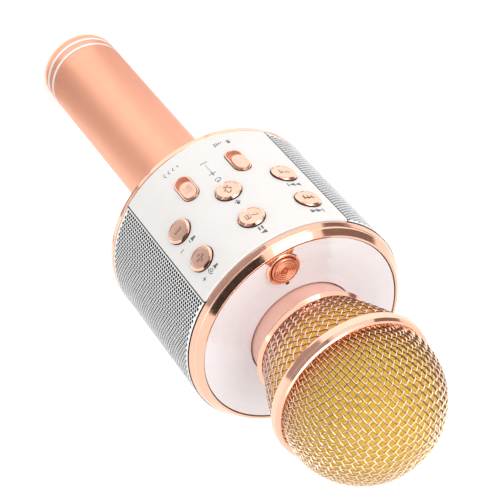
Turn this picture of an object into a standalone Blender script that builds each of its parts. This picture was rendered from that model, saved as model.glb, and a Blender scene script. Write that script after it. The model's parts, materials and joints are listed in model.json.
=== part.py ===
"""Karaoke microphone: a handle, a speaker drum with a control panel, and a wire-mesh head.

The microphone stands on its tail. +Z runs from the tail to the head, the origin is the centre
of the tail's flat face, and the control panel faces -Y. Blender works in metres, and the
dimensions below are in millimetres.
"""

import math

import bmesh
import bpy
from mathutils import Matrix

MM = 0.001
GAP = 0.3

# Driving dimensions, in millimetres
HANDLE_RADIUS = 15.5
HANDLE_BORE = 13.9
HANDLE_TOP = 123.3
TAIL_RING_RADIUS = 15.65
DRUM_RADIUS = 40.0
DRUM_BOTTOM = 117.4
PANEL_BOTTOM = 120.5
PANEL_TOP = 176.8
DRUM_TOP = 181.2
PANEL_HALF_ANGLE = math.radians(41.7)
PANEL_THICKNESS = 2.3
SPIGOT_RADIUS = 37.3
GRILLE_RADIUS = 39.6
GRILLE_THICKNESS = 1.0
RIM_LIP_RADIUS = 36.5
RIM_BORE = 35.8
DISH_EDGE_RADIUS = 35.5
DISH_BORE = 18.9
DISH_NECK_HEIGHT = 181.4
NECK_RADIUS = 18.6
NECK_TOP = 188.7
NECK_TOP_RADIUS = 19.9
JOINT_RING_RADIUS = 21.2
BASKET_BOTTOM = 191.3
BASKET_RADIUS = 19.9
BASKET_TOP_RADIUS = 27.3
BAND_BOTTOM = 210.9
BAND_TOP = 215.2
BAND_RADIUS = 28.4
DOME_RIM_RADIUS = 26.2
DOME_RADIUS = 26.8
HEAD_TOP = 244.9
MESH_THICKNESS = 1.0
FOAM_RADIUS = 24.8

# Controls on the front panel: distances along the curved face from its centre line
BUTTON_COLUMN = 20.6
BUTTON_ROWS = (149.1, 164.9)
BUTTON_HOLE = 4.6
BUTTON_RADIUS = 4.42
BUTTON_TOP_RADIUS = 3.75
BUTTON_HEIGHT = 1.25
SLIDER_COLUMN = 9.9
SLIDER_HEIGHT = 137.1
TRAY_LENGTH = 12.2
TRAY_WIDTH = 6.0
TRAY_WALL = 0.45
KNOB_LENGTH = 7.4
KNOB_WIDTH = 4.8

# Power button on the top dish
POWER_DISTANCE = 29.4
POWER_BEZEL_RADIUS = 5.9
POWER_BORE = 4.8
POWER_RADIUS = 4.6
POWER_STEM = 1.4
LIGHT_DISTANCE = 22.4

# Chassis and what it carries
CHASSIS_RADIUS = 35.2
CHASSIS_BORE = 11.6
CHASSIS_SPIGOT = 13.6
CHASSIS_BOTTOM = 124.0
CHASSIS_TOP = 172.2
SPEAKER_HEIGHT = 149.0
SPEAKER_RADIUS = 21.3
BAFFLE_DISTANCE = 25.2
BOARD_DISTANCE = 29.6
BOARD_THICKNESS = 1.2
SWITCH_TOP = -7.05
REAR_BOARD_DISTANCE = 26.4
CHARGE_HEIGHT = 160.0
JACK_HEIGHT = 149.5
CARD_HEIGHT = 139.0
SCREW_CIRCLE = 30.0
SCREW_HEAD = 2.5
SCREW_SHANK = 1.25
SCREW_BORE = 1.6
SCREW_ANGLES = (45, 135, 225, 315)

# Battery bay in the handle
CAP_TOP = 8.35
CELL_RADIUS = 9.2
CELL_LENGTH = 65.0
CELL_BOTTOM = 18.0

ROUND = 36
FINE = 18
SMALL = 10


def material(name, colour, roughness, metallic=0.0):
    """A Principled material, made once and then shared by its name."""
    found = bpy.data.materials.get(name)
    if found:
        return found
    made = bpy.data.materials.new(name)
    made.use_nodes = True
    shader = made.node_tree.nodes["Principled BSDF"]
    shader.inputs["Base Color"].default_value = (*colour, 1.0)
    shader.inputs["Roughness"].default_value = roughness
    shader.inputs["Metallic"].default_value = metallic
    made.diffuse_color = (*colour, 1.0)
    return made


def rose_metal():
    return material("rose_satin_metal", (0.86, 0.52, 0.40), 0.32, 1.0)


def rose_plating():
    return material("rose_plating", (0.93, 0.66, 0.55), 0.12, 1.0)


def pale_plating():
    return material("pale_plating", (0.90, 0.88, 0.86), 0.18, 1.0)


def copper_plating():
    return material("copper_plating", (0.80, 0.36, 0.20), 0.25, 1.0)


def white_panel():
    return material("white_panel", (0.87, 0.86, 0.83), 0.35)


def white_gloss():
    return material("white_gloss", (0.88, 0.87, 0.88), 0.08)


def white_grille():
    return material("white_grille", (0.78, 0.78, 0.78), 0.4, 0.3)


def peach_satin():
    return material("peach_satin", (0.88, 0.48, 0.38), 0.3, 0.6)


def mesh_wire():
    return material("mesh_wire", (0.90, 0.72, 0.66), 0.25, 1.0)


def yellow_foam():
    return material("yellow_foam", (0.85, 0.46, 0.03), 0.95)


def black_plastic():
    return material("black_plastic", (0.03, 0.03, 0.035), 0.5)


def steel():
    return material("steel", (0.6, 0.6, 0.62), 0.3, 1.0)


def board_green():
    return material("board_green", (0.03, 0.22, 0.08), 0.5)


def cone_paper():
    return material("cone_paper", (0.05, 0.05, 0.055), 0.8)


def cell_wrap():
    return material("cell_wrap", (0.06, 0.2, 0.55), 0.4)


def lead_red():
    return material("lead_red", (0.6, 0.04, 0.03), 0.5)


def clear_plastic():
    return material("clear_plastic", (0.75, 0.8, 0.85), 0.1)


def clear_scene():
    for obj in list(bpy.data.objects):
        bpy.data.objects.remove(obj, do_unlink=True)


def facing(distance_along, height, radius=DRUM_RADIUS):
    """Location and rotation of a piece on the drum: its own +Z points out and its +Y up."""
    angle = distance_along / DRUM_RADIUS
    place = (radius * math.sin(angle) * MM, -radius * math.cos(angle) * MM, height * MM)
    return place, (math.pi / 2, 0.0, angle)


def put(name, mesh, look, location=(0, 0, 0), rotation=(0, 0, 0)):
    """Add a mesh to the scene as one named object."""
    obj = bpy.data.objects.new(name, mesh)
    bpy.context.scene.collection.objects.link(obj)
    obj.location = location
    obj.rotation_euler = rotation
    mesh.materials.append(look)
    mesh.shade_smooth()
    mesh.set_sharp_from_angle(angle=math.radians(35))
    return obj


def finished(bm, name):
    bmesh.ops.remove_doubles(bm, verts=bm.verts, dist=1e-7)
    bmesh.ops.recalc_face_normals(bm, faces=bm.faces)
    mesh = bpy.data.meshes.new(name)
    bm.to_mesh(mesh)
    bm.free()
    return mesh


def turned_mesh(name, profile, steps=ROUND, start=0.0, sweep=2 * math.pi):
    """A closed profile of (radius, height) points turned about Z, whole or as a capped sector."""
    bm = bmesh.new()
    whole = sweep > 2 * math.pi - 1e-6
    turns = steps if whole else steps + 1
    rings = []
    for i in range(turns):
        angle = start + sweep * i / steps
        ring = [
            bm.verts.new((r * math.cos(angle) * MM, r * math.sin(angle) * MM, z * MM))
            for r, z in profile
        ]
        rings.append(ring)
    count = len(profile)
    for i in range(steps):
        here = rings[i]
        there = rings[(i + 1) % turns]
        for j in range(count):
            k = (j + 1) % count
            if profile[j][0] < 1e-6 and profile[k][0] < 1e-6:
                continue
            corners = [here[j], there[j], there[k], here[k]]
            if profile[j][0] < 1e-6:
                corners = [here[j], there[k], here[k]]
            elif profile[k][0] < 1e-6:
                corners = [here[j], there[j], here[k]]
            bm.faces.new(corners)
    if not whole:
        bm.faces.new(rings[0])
        bm.faces.new(rings[-1])
    return finished(bm, name)


def turned(name, profile, look, steps=ROUND, location=(0, 0, 0), rotation=(0, 0, 0)):
    return put(name, turned_mesh(name, profile, steps), look, location, rotation)


def shell_sector(name, outer, thickness, bottom, top, centre, half_angle, steps, look):
    """A stretch of the drum's wall, centred on an angle about Z."""
    profile = [(outer - thickness, bottom), (outer, bottom), (outer, top), (outer - thickness, top)]
    mesh = turned_mesh(name, profile, steps, centre - half_angle, 2 * half_angle)
    return put(name, mesh, look)


def box_mesh(name, low, high):
    bm = bmesh.new()
    bmesh.ops.create_cube(bm, size=1.0)
    size = [(b - a) * MM for a, b in zip(low, high)]
    middle = [(a + b) / 2 * MM for a, b in zip(low, high)]
    bmesh.ops.transform(bm, matrix=Matrix.Diagonal((*size, 1.0)), verts=bm.verts)
    bmesh.ops.translate(bm, vec=middle, verts=bm.verts)
    return finished(bm, name)


def box(name, low, high, look, location=(0, 0, 0), rotation=(0, 0, 0)):
    return put(name, box_mesh(name, low, high), look, location, rotation)


def stadium(length, width, steps=8):
    """Outline of a slot with round ends, its long side along Y."""
    radius = width / 2
    half = length / 2 - radius
    upper = [
        (radius * math.cos(math.pi * i / steps), half + radius * math.sin(math.pi * i / steps))
        for i in range(steps + 1)
    ]
    return upper + [(-x, -y) for x, y in upper]


def prism_mesh(name, outline, low, high):
    """An outline in X and Y, made solid between two heights."""
    bm = bmesh.new()
    base = [bm.verts.new((x * MM, y * MM, low * MM)) for x, y in outline]
    face = bm.faces.new(base)
    made = bmesh.ops.extrude_face_region(bm, geom=[face])
    moved = [v for v in made["geom"] if isinstance(v, bmesh.types.BMVert)]
    bmesh.ops.translate(bm, vec=(0, 0, (high - low) * MM), verts=moved)
    return finished(bm, name)


def cutter(name, mesh, location=(0, 0, 0), rotation=(0, 0, 0)):
    """A helper shape for a Boolean, left out of the object."""
    obj = bpy.data.objects.new(name, mesh)
    bpy.context.scene.collection.objects.link(obj)
    obj.location = location
    obj.rotation_euler = rotation
    obj.hide_render = True
    obj.display_type = "WIRE"
    return obj


def boolean(obj, other, operation="DIFFERENCE"):
    step = obj.modifiers.new(other.name, "BOOLEAN")
    step.operation = operation
    step.object = other


def disc_profile(radius, low, high):
    return [(0, low), (radius, low), (radius, high), (0, high)]


def tube_profile(inner, outer, low, high):
    return [(inner, low), (outer, low), (outer, high), (inner, high)]


def wire(name, path, radius, look, resolution):
    """A round wire along the points, with filled ends."""
    curve = bpy.data.curves.new(name, "CURVE")
    curve.dimensions = "3D"
    curve.bevel_depth = radius * MM
    curve.bevel_resolution = resolution
    curve.use_fill_caps = True
    spline = curve.splines.new("POLY")
    spline.points.add(len(path) - 1)
    for target, point in zip(spline.points, path):
        target.co = (*[c * MM for c in point], 1.0)
    obj = bpy.data.objects.new(name, curve)
    bpy.context.scene.collection.objects.link(obj)
    curve.materials.append(look)


def lead(name, points, radius):
    """An insulated wire along a smooth curve through the points."""
    wire(name, smooth_path(points, 3), radius, lead_red(), 1)


def smooth_path(points, steps):
    """Catmull-Rom points through the given ones."""
    ends = [points[0]] + list(points) + [points[-1]]
    path = []
    for a, b, c, d in zip(ends, ends[1:], ends[2:], ends[3:]):
        for i in range(steps):
            t = i / steps
            path.append(tuple(
                0.5 * (2 * q + (r - p) * t + (2 * p - 5 * q + 4 * r - s) * t * t
                       + (3 * q - p - 3 * r + s) * t ** 3)
                for p, q, r, s in zip(a, b, c, d)
            ))
    path.append(tuple(points[-1]))
    return path


def handle():
    """Grip tube, screwed tail cap, and the two bright rings by the cap's joint and in its groove."""
    turned("handle_tube", tube_profile(HANDLE_BORE, HANDLE_RADIUS, 9.8, HANDLE_TOP), rose_metal())
    turned("tail_ring_upper", tube_profile(13.7, TAIL_RING_RADIUS, 8.45, 9.65), pale_plating())
    turned("tail_ring_lower", tube_profile(14.98, TAIL_RING_RADIUS, 4.12, 5.38), pale_plating())
    turned("tail_cap", [
        (0, 0), (14.3, 0), (15.15, 0.35), (HANDLE_RADIUS, 1.2), (HANDLE_RADIUS, 4.0),
        (14.85, 4.0), (14.85, 5.5), (HANDLE_RADIUS, 5.5), (HANDLE_RADIUS, CAP_TOP),
        (13.4, CAP_TOP), (13.4, 13.5), (11.6, 13.5), (11.6, 3.0), (0, 3.0),
    ], rose_metal())


def battery():
    """Cell in its sleeve, with the contact above it and the spring below."""
    cell_top = CELL_BOTTOM + CELL_LENGTH
    turned("battery_cell", [
        (0, CELL_BOTTOM), (CELL_RADIUS, CELL_BOTTOM), (CELL_RADIUS, cell_top - 1.2),
        (3.2, cell_top - 1.2), (3.2, cell_top), (0, cell_top),
    ], cell_wrap(), FINE)
    turned("battery_sleeve", [
        (9.6, 14.0), (13.6, 14.0), (13.6, 16.0), (11.2, 16.0), (11.2, 87.0), (13.6, 87.0),
        (13.6, 89.0), (2.0, 89.0), (2.0, 87.0), (9.6, 87.0),
    ], black_plastic(), FINE)
    turned("battery_contact", [
        (0, cell_top + GAP), (7.5, cell_top + GAP), (7.5, cell_top + 0.9), (1.5, cell_top + 0.9),
        (1.5, 89.5), (0, 89.5),
    ], steel(), SMALL)
    battery_spring()


def battery_spring():
    """A conical coil on the tail cap's floor, wound by a loop."""
    turns = 4
    steps = 10
    points = []
    for i in range(turns * steps + 1):
        share = i / (turns * steps)
        radius = 8.0 - 3.6 * share
        angle = 2 * math.pi * i / steps
        height = 3.9 + 13.2 * share
        points.append((radius * math.cos(angle), radius * math.sin(angle), height))
    wire("battery_spring", points, 0.5, steel(), 0)


def screw_places():
    for number, degrees in enumerate(SCREW_ANGLES, 1):
        angle = math.radians(degrees)
        yield number, (SCREW_CIRCLE * math.cos(angle) * MM, SCREW_CIRCLE * math.sin(angle) * MM, 0)


def drum_rings():
    """Plated rims that hold the panels: a round one below, a two-facet bevel above."""
    seat = PANEL_BOTTOM - GAP
    turned("drum_lower_ring", [
        (36.0, 117.7), (38.8, DRUM_BOTTOM), (39.5, 117.8), (39.8, 118.5), (39.8, seat),
        (SPIGOT_RADIUS, seat), (SPIGOT_RADIUS, 123.4), (36.0, 123.4),
    ], rose_plating())
    seat = PANEL_TOP + GAP
    turned("drum_upper_ring", [
        (RIM_BORE, 175.8), (SPIGOT_RADIUS, 175.8), (SPIGOT_RADIUS, seat), (39.4, seat),
        (38.2, 179.1), (RIM_LIP_RADIUS, DRUM_TOP), (RIM_BORE, DRUM_TOP - 0.2),
    ], rose_plating())


def top_dish():
    """Shallow white dish round the neck, with holes for the power button and its light."""
    dish = turned("top_dish", [
        (DISH_BORE, 179.2), (DISH_EDGE_RADIUS, 178.2), (DISH_EDGE_RADIUS, 180.5), (33.0, 180.3),
        (27.0, 180.25), (22.0, 180.7), (DISH_BORE, DISH_NECK_HEIGHT),
    ], white_gloss())
    place = (0, -POWER_DISTANCE * MM, 0)
    hole = turned_mesh("power_hole", disc_profile(POWER_BEZEL_RADIUS - 0.6, 170, 190), FINE)
    boolean(dish, cutter("power_hole", hole, place))
    pin = turned_mesh("light_hole", disc_profile(1.0, 170, 190), SMALL)
    boolean(dish, cutter("light_hole", pin, (0, -LIGHT_DISTANCE * MM, 0)))


def bottom_cover():
    """White cover round the handle, held by four countersunk screws."""
    cover = turned("drum_bottom_cover", [
        (15.9, 114.6), (19.0, 114.6), (DISH_EDGE_RADIUS, 117.8), (DISH_EDGE_RADIUS, 119.9),
        (19.0, 116.9), (15.9, 116.9),
    ], white_gloss())
    for number, place in screw_places():
        hole = turned_mesh("cover_hole", [
            (0, 110), (SCREW_HEAD + 0.4, 110), (SCREW_HEAD + 0.4, 118.3), (SCREW_BORE, 118.3),
            (SCREW_BORE, 130), (0, 130),
        ], SMALL)
        boolean(cover, cutter(f"cover_hole_{number}", hole, place))
        turned(f"cover_screw_{number}", [
            (0, 117.0), (SCREW_HEAD, 117.0), (SCREW_HEAD, 118.0), (SCREW_SHANK, 118.0),
            (SCREW_SHANK, 125.7), (0, 125.7),
        ], steel(), SMALL, place)


def front_panel():
    """Curved control panel with six round holes and two slots."""
    panel = shell_sector("front_panel", DRUM_RADIUS, PANEL_THICKNESS, PANEL_BOTTOM, PANEL_TOP,
                         -math.pi / 2, PANEL_HALF_ANGLE, 16, white_panel())
    for column in (-1, 0, 1):
        for row, height in enumerate(BUTTON_ROWS):
            place, turn = facing(column * BUTTON_COLUMN, height)
            hole = turned_mesh("button_hole", disc_profile(BUTTON_HOLE, -6, 4), FINE)
            boolean(panel, cutter(f"button_hole_{column}_{row}", hole, place, turn))
    for side in (-1, 1):
        place, turn = facing(side * SLIDER_COLUMN, SLIDER_HEIGHT)
        outline = stadium(TRAY_LENGTH + GAP, TRAY_WIDTH + GAP)
        slot = prism_mesh("slider_slot", outline, -6, 4)
        boolean(panel, cutter(f"slider_slot_{side}", slot, place, turn))


def rear_panel():
    """Curved panel with openings for the charging port, the audio jack and the card."""
    panel = shell_sector("rear_panel", DRUM_RADIUS, PANEL_THICKNESS, PANEL_BOTTOM, PANEL_TOP,
                         math.pi / 2, PANEL_HALF_ANGLE, 16, white_panel())
    charge = box_mesh("charge_hole", (-4.8, 30, CHARGE_HEIGHT - 1.9), (4.8, 45, CHARGE_HEIGHT + 1.9))
    boolean(panel, cutter("charge_hole", charge))
    jack = turned_mesh("jack_hole", disc_profile(3.9, 30, 45), SMALL)
    boolean(panel, cutter("jack_hole", jack, (0, 0, JACK_HEIGHT * MM), (-math.pi / 2, 0, 0)))
    card = box_mesh("card_hole", (-6.8, 30, CARD_HEIGHT - 1.4), (6.8, 45, CARD_HEIGHT + 1.4))
    boolean(panel, cutter("card_hole", card))


def rear_ports():
    """Charging port, audio jack and card slot, from the main board out to the rear panel."""
    near = REAR_BOARD_DISTANCE + BOARD_THICKNESS + GAP
    low, high = CHARGE_HEIGHT - 1.6, CHARGE_HEIGHT + 1.6
    port = box("charge_port", (-4.5, near, low), (4.5, 39.3, high), steel())
    inside = box_mesh("charge_inside", (-4.1, near + 2, low + 0.4), (4.1, 45, high - 0.4))
    boolean(port, cutter("charge_inside", inside))
    turn = (-math.pi / 2, 0, 0)
    turned("audio_jack", [
        (0, near), (3.6, near), (3.6, 39.7), (1.8, 39.7), (1.8, near + 1), (0, near + 1),
    ], black_plastic(), SMALL, (0, 0, JACK_HEIGHT * MM), turn)
    low, high = CARD_HEIGHT - 1.1, CARD_HEIGHT + 1.1
    slot = box("card_slot", (-6.5, near, low), (6.5, 38.8, high), black_plastic())
    inside = box_mesh("card_inside", (-5.7, near + 2, low + 0.6), (5.7, 45, high - 0.6))
    boolean(slot, cutter("card_inside", inside))


def grilles():
    """Curved sheets over the speakers, between the two panels."""
    clearance = GAP / DRUM_RADIUS
    half = math.pi / 2 - PANEL_HALF_ANGLE - clearance
    for name, centre in (("left_grille", 0.0), ("right_grille", math.pi)):
        shell_sector(name, GRILLE_RADIUS, GRILLE_THICKNESS, PANEL_BOTTOM, PANEL_TOP,
                     centre, half, 18, white_grille())


def chassis():
    """Base plate with a spigot in the handle, two baffles for the speakers, and a top plate."""
    body = turned("drum_chassis", [
        (CHASSIS_BORE, 106.0), (CHASSIS_SPIGOT, 106.0), (CHASSIS_SPIGOT, CHASSIS_BOTTOM),
        (CHASSIS_RADIUS, CHASSIS_BOTTOM), (CHASSIS_RADIUS, CHASSIS_BOTTOM + 2),
        (CHASSIS_BORE, CHASSIS_BOTTOM + 2),
    ], black_plastic(), FINE)
    top = turned_mesh("chassis_top", tube_profile(8.0, CHASSIS_RADIUS, 170.9, CHASSIS_TOP), FINE)
    boolean(body, cutter("chassis_top", top), "UNION")
    for side in (-1, 1):
        x = side * BAFFLE_DISTANCE
        wall = box_mesh("baffle", (x - 1, -22.2, 125.5), (x + 1, 22.2, 171.5))
        boolean(body, cutter(f"baffle_{side}", wall), "UNION")
    mouth = turned_mesh("speaker_mouth", disc_profile(SPEAKER_RADIUS - 2.5, -50, 50), FINE, 0.06)
    place = (0, 0, SPEAKER_HEIGHT * MM)
    boolean(body, cutter("speaker_mouth", mouth, place, (0, math.pi / 2, 0)))
    for number, place in screw_places():
        hole = turned_mesh("boss_hole", disc_profile(SCREW_BORE, 120, 130), 12)
        boolean(body, cutter(f"boss_hole_{number}", hole, place))


def speakers():
    """A driver behind each grille: local +Z points out through the grille."""
    for side, word in ((1, "left"), (-1, "right")):
        place = (side * (BAFFLE_DISTANCE + 1 + GAP) * MM, 0, SPEAKER_HEIGHT * MM)
        turn = (0, side * math.pi / 2, 0)
        turned(f"speaker_basket_{word}", [
            (0, -17.5), (13.0, -17.5), (13.0, -10.5), (SPEAKER_RADIUS - 3.4, -1.5),
            (SPEAKER_RADIUS - 3.4, 0), (SPEAKER_RADIUS, 0), (SPEAKER_RADIUS, 1.5),
            (SPEAKER_RADIUS - 4.9, 1.5), (SPEAKER_RADIUS - 4.9, -1.0), (11.5, -9.0), (0, -9.0),
        ], steel(), FINE, place, turn)
        turned(f"speaker_cone_{word}", [
            (0, -4.2), (5.6, -6.0), (SPEAKER_RADIUS - 5.6, 0.6), (SPEAKER_RADIUS - 4.9, 1.8),
            (SPEAKER_RADIUS - 1.0, 1.8), (SPEAKER_RADIUS - 1.0, 2.3), (SPEAKER_RADIUS - 3.0, 3.3),
            (SPEAKER_RADIUS - 5.0, 2.3), (6.0, -4.8), (4.0, -3.0), (0, -2.2),
        ], cone_paper(), FINE, place, turn)


def key_boards():
    """Three narrow boards behind the panel, each with the switches of one column of buttons."""
    low = -(DRUM_RADIUS - BOARD_DISTANCE) - BOARD_THICKNESS
    high = low + BOARD_THICKNESS
    for name, column, left, right, bottom in (
        ("key_board_centre", 0, -12.6, 12.6, 126.6),
        ("key_board_left", 1, -2.6, 7.0, 142.0),
        ("key_board_right", -1, -7.0, 2.6, 142.0),
    ):
        place, turn = facing(column * BUTTON_COLUMN, 0)
        board = box(name, (left, bottom, low), (right, 170.4, high), board_green(), place, turn)
        for row, height in enumerate(BUTTON_ROWS):
            where = facing(column * BUTTON_COLUMN, height)
            solder_switch(board, f"{name}_{row}", high - 0.6, SWITCH_TOP, where)


def solder_switch(board, name, base, top, where):
    """Join a square switch body and its round plunger to a board."""
    body = box_mesh("switch_body", (-2.2, -2.2, base), (2.2, 2.2, top - 0.7))
    boolean(board, cutter(f"{name}_body", body, *where), "UNION")
    plunger = turned_mesh("plunger", disc_profile(1.0, top - 1.2, top), 12)
    boolean(board, cutter(f"{name}_plunger", plunger, *where), "UNION")


def push_button(name, location, rotation):
    """Cap, retaining flange and stem: its +Z points out of the panel, with 0 on the surface."""
    turned(name, [
        (0, -6.2), (1.5, -6.2), (1.5, -3.6), (5.2, -3.6), (5.2, -2.9), (BUTTON_RADIUS, -2.9),
        (BUTTON_RADIUS, 0.25), (4.25, 0.65), (BUTTON_TOP_RADIUS, BUTTON_HEIGHT - 0.1),
        (3.3, BUTTON_HEIGHT), (1.7, BUTTON_HEIGHT + 0.08), (0, BUTTON_HEIGHT + 0.1),
    ], rose_plating(), FINE, location, rotation)


def panel_buttons():
    """Six push buttons, each over its own switch."""
    names = {
        (1, 0): "volume_down", (1, 1): "volume_up",
        (0, 0): "mic_replay", (0, 1): "play_pause",
        (-1, 0): "next_track", (-1, 1): "previous_track",
    }
    for (column, row), word in names.items():
        place, turn = facing(column * BUTTON_COLUMN, BUTTON_ROWS[row])
        push_button(f"{word}_button", place, turn)


def sliders():
    """Two slider knobs, each in a tray let into the panel, over a slide potentiometer."""
    half_travel = (TRAY_LENGTH - 2 * TRAY_WALL - KNOB_LENGTH) / 2
    rest = half_travel - 0.1
    for side, word in ((1, "echo"), (-1, "mic_volume")):
        place, turn = facing(side * SLIDER_COLUMN, SLIDER_HEIGHT)
        outline = stadium(TRAY_LENGTH, TRAY_WIDTH)
        tray = put(f"{word}_tray", prism_mesh("tray", outline, -2.6, 0.4), rose_plating(), place, turn)
        inner = stadium(TRAY_LENGTH - 2 * TRAY_WALL, TRAY_WIDTH - 2 * TRAY_WALL)
        boolean(tray, cutter(f"{word}_well", prism_mesh("well", inner, -1.6, 4), place, turn))
        slit = prism_mesh("slit", stadium(8.4, 2.0), -6, 4)
        boolean(tray, cutter(f"{word}_slit", slit, place, turn))
        up = (place[0], place[1], place[2] + rest * MM)
        face = stadium(KNOB_LENGTH, KNOB_WIDTH)
        knob = put(f"{word}_knob", prism_mesh("knob", face, -1.3, 1.0), rose_plating(), up, turn)
        stem = box_mesh("stem", (-0.6, -1.6, -6.5), (0.6, 1.6, -0.8))
        boolean(knob, cutter(f"{word}_stem", stem, up, turn), "UNION")
        left, right = sorted((side * 4.6, side * 12.2))
        box(f"{word}_pot", (left, -32.0, 129.0), (right, -BOARD_DISTANCE - 0.2, 145.2), steel())


def power_button():
    """Button and light in the top dish, over a small board; a tab joins the bezel to the rim."""
    place = (0, -POWER_DISTANCE * MM, 0)
    bezel = turned("power_bezel", [
        (POWER_BORE, 176.0), (5.2, 176.0), (5.2, 180.8), (POWER_BEZEL_RADIUS, 180.8),
        (POWER_BEZEL_RADIUS, 181.4), (5.5, 181.9), (POWER_BORE, 181.9),
    ], rose_plating(), FINE, place)
    tab = box_mesh("power_tab", (-4.2, -35.2, 180.85), (4.2, -33.6, 181.5))
    boolean(bezel, cutter("power_tab", tab), "UNION")
    bore = turned_mesh("power_bore", disc_profile(POWER_BORE, 170, 190), FINE)
    boolean(bezel, cutter("power_bore", bore, place))
    turned("power_button", [
        (0, 176.1), (POWER_STEM, 176.1), (POWER_STEM, 177.6), (POWER_RADIUS, 177.6),
        (POWER_RADIUS, 181.9),
        (4.2, 182.3), (3.4, 182.4), (3.0, 182.1), (0, 182.0),
    ], copper_plating(), FINE, place)
    board = box("power_board", (-7.0, -34.0, 172.5), (7.0, -20.5, 173.5), board_green())
    solder_switch(board, "power", 173.1, 175.1, (place, (0, 0, 0)))
    turned("light_pipe", [
        (0, 173.8), (1.4, 173.8), (1.4, 176.0), (0.7, 176.0), (0.7, 180.7), (0, 180.7),
    ], clear_plastic(), 12, (0, -LIGHT_DISTANCE * MM, 0))


def main_board():
    """Circuit board behind the rear panel."""
    far = REAR_BOARD_DISTANCE + BOARD_THICKNESS
    box("main_board", (-20, REAR_BOARD_DISTANCE, 129), (20, far, 168), board_green())


def neck():
    """Flared neck, with the microphone capsule on its mount inside."""
    turned("neck_collar", [
        (16.2, 172.5), (18.3, 172.5), (18.3, 180.6), (NECK_RADIUS, 181.2), (18.9, 183.5),
        (19.4, 186.2), (NECK_TOP_RADIUS, NECK_TOP), (17.5, NECK_TOP), (17.5, 181.0), (16.2, 181.0),
    ], peach_satin())
    turned("capsule_mount", [
        (3.6, 172.5), (7.2, 172.5), (7.2, 174.5), (5.2, 174.5), (5.2, 188.0), (10.8, 190.5),
        (10.8, 197.0), (9.2, 197.0), (9.2, 191.5), (3.6, 191.5),
    ], black_plastic(), FINE)
    turned("mic_capsule", [
        (0, 191.9), (8.8, 191.9), (8.8, 197.2), (8.2, 197.8), (0, 197.8),
    ], steel(), FINE)


def head_ring():
    """Plated ring on the neck's edge, with a screwed skirt inside the neck."""
    base = NECK_TOP + GAP
    turned("head_thread_ring", [
        (15.4, 181.6), (17.2, 181.6), (17.2, base), (20.8, base), (JOINT_RING_RADIUS, base + 0.5),
        (20.9, base + 1.1), (19.9, base + 2.0), (18.6, base + 2.0), (18.6, 192.8), (17.8, 192.8),
        (17.8, base + 0.8), (15.4, base + 0.8),
    ], rose_plating())


def dome_profile(radius, top, bottom, steps):
    """Quarter-ellipse points from the rim at the bottom to the crown."""
    points = []
    for i in range(steps):
        angle = math.pi / 2 * i / steps
        points.append((radius * math.cos(angle), bottom + (top - bottom) * math.sin(angle)))
    return points + [(0, top)]


def head_shells():
    """The wire mesh as two thin shells, and the plated band that they meet at."""
    rim = BAND_BOTTOM - GAP
    waist, waist_height = 24.4, 200.6
    turned("lower_basket", [
        (BASKET_RADIUS - MESH_THICKNESS, BASKET_BOTTOM), (BASKET_RADIUS, BASKET_BOTTOM),
        (waist, waist_height), (BASKET_TOP_RADIUS, rim), (BASKET_TOP_RADIUS - MESH_THICKNESS, rim),
        (waist - MESH_THICKNESS, waist_height),
    ], mesh_wire())
    bore = DOME_RIM_RADIUS - MESH_THICKNESS + 0.1
    turned("head_band", [
        (bore, BAND_BOTTOM), (27.9, BAND_BOTTOM), (BAND_RADIUS - 0.1, 211.4), (BAND_RADIUS, 212.6),
        (28.2, 213.6), (27.7, 214.3), (26.9, 214.9), (26.5, BAND_TOP), (bore, BAND_TOP),
    ], rose_plating())
    rim = BAND_TOP + GAP
    bulge = rim + 3.0
    outer = dome_profile(DOME_RADIUS, HEAD_TOP, bulge, 7)
    inner = dome_profile(DOME_RADIUS - MESH_THICKNESS, HEAD_TOP - MESH_THICKNESS, bulge, 7)
    turned("upper_dome", [
        (DOME_RIM_RADIUS - MESH_THICKNESS, rim), (DOME_RIM_RADIUS, rim),
    ] + outer + inner[::-1], mesh_wire())


def windscreen():
    """Foam cup inside the wires, hollow from below for the capsule."""
    crown = dome_profile(FOAM_RADIUS, HEAD_TOP - 1.8, 214.0, 6)
    turned("foam_windscreen", [
        (17.4, 190.4), (17.4, 193.4), (19.2, 194.8), (22.6, 201.0), (FOAM_RADIUS, 208.5),
    ] + crown + [(0, 204.0), (9.0, 204.0), (12.5, 200.0), (12.5, 190.4)], yellow_foam(), FINE)


def leads():
    """Insulated wires from the battery contact and from the capsule to the main board."""
    lead("battery_lead", [
        (0.6, 0, 90.6), (1.5, 1, 100), (1.0, 3, 112), (0, 6, 122), (0, 12, 129), (-2, 19, 134),
        (-4, 25.6, 137),
    ], 0.7)
    lead("capsule_lead", [
        (0, 0, 190.6), (0, 0, 182), (0, 0.5, 172), (1, 4, 164), (3, 13, 158), (4, 20, 155),
        (4, 25.6, 154),
    ], 0.6)


def main():
    clear_scene()
    handle()
    battery()
    drum_rings()
    top_dish()
    bottom_cover()
    front_panel()
    rear_panel()
    rear_ports()
    grilles()
    chassis()
    speakers()
    key_boards()
    panel_buttons()
    sliders()
    power_button()
    main_board()
    neck()
    head_ring()
    head_shells()
    windscreen()
    leads()


main()
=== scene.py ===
"""Looks of the karaoke microphone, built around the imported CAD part.

Lengths are in millimetres until a mesh is made, and positions come from the frame's own
boxes and record. A place on the drum is given by an angle about Z from -Y towards +X and a
height, and its local frame has +Z pointing out of the wall and +Y up.
"""

import json
import math

import bmesh
import bpy
import numpy as np
from mathutils import Matrix, Vector, noise


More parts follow.
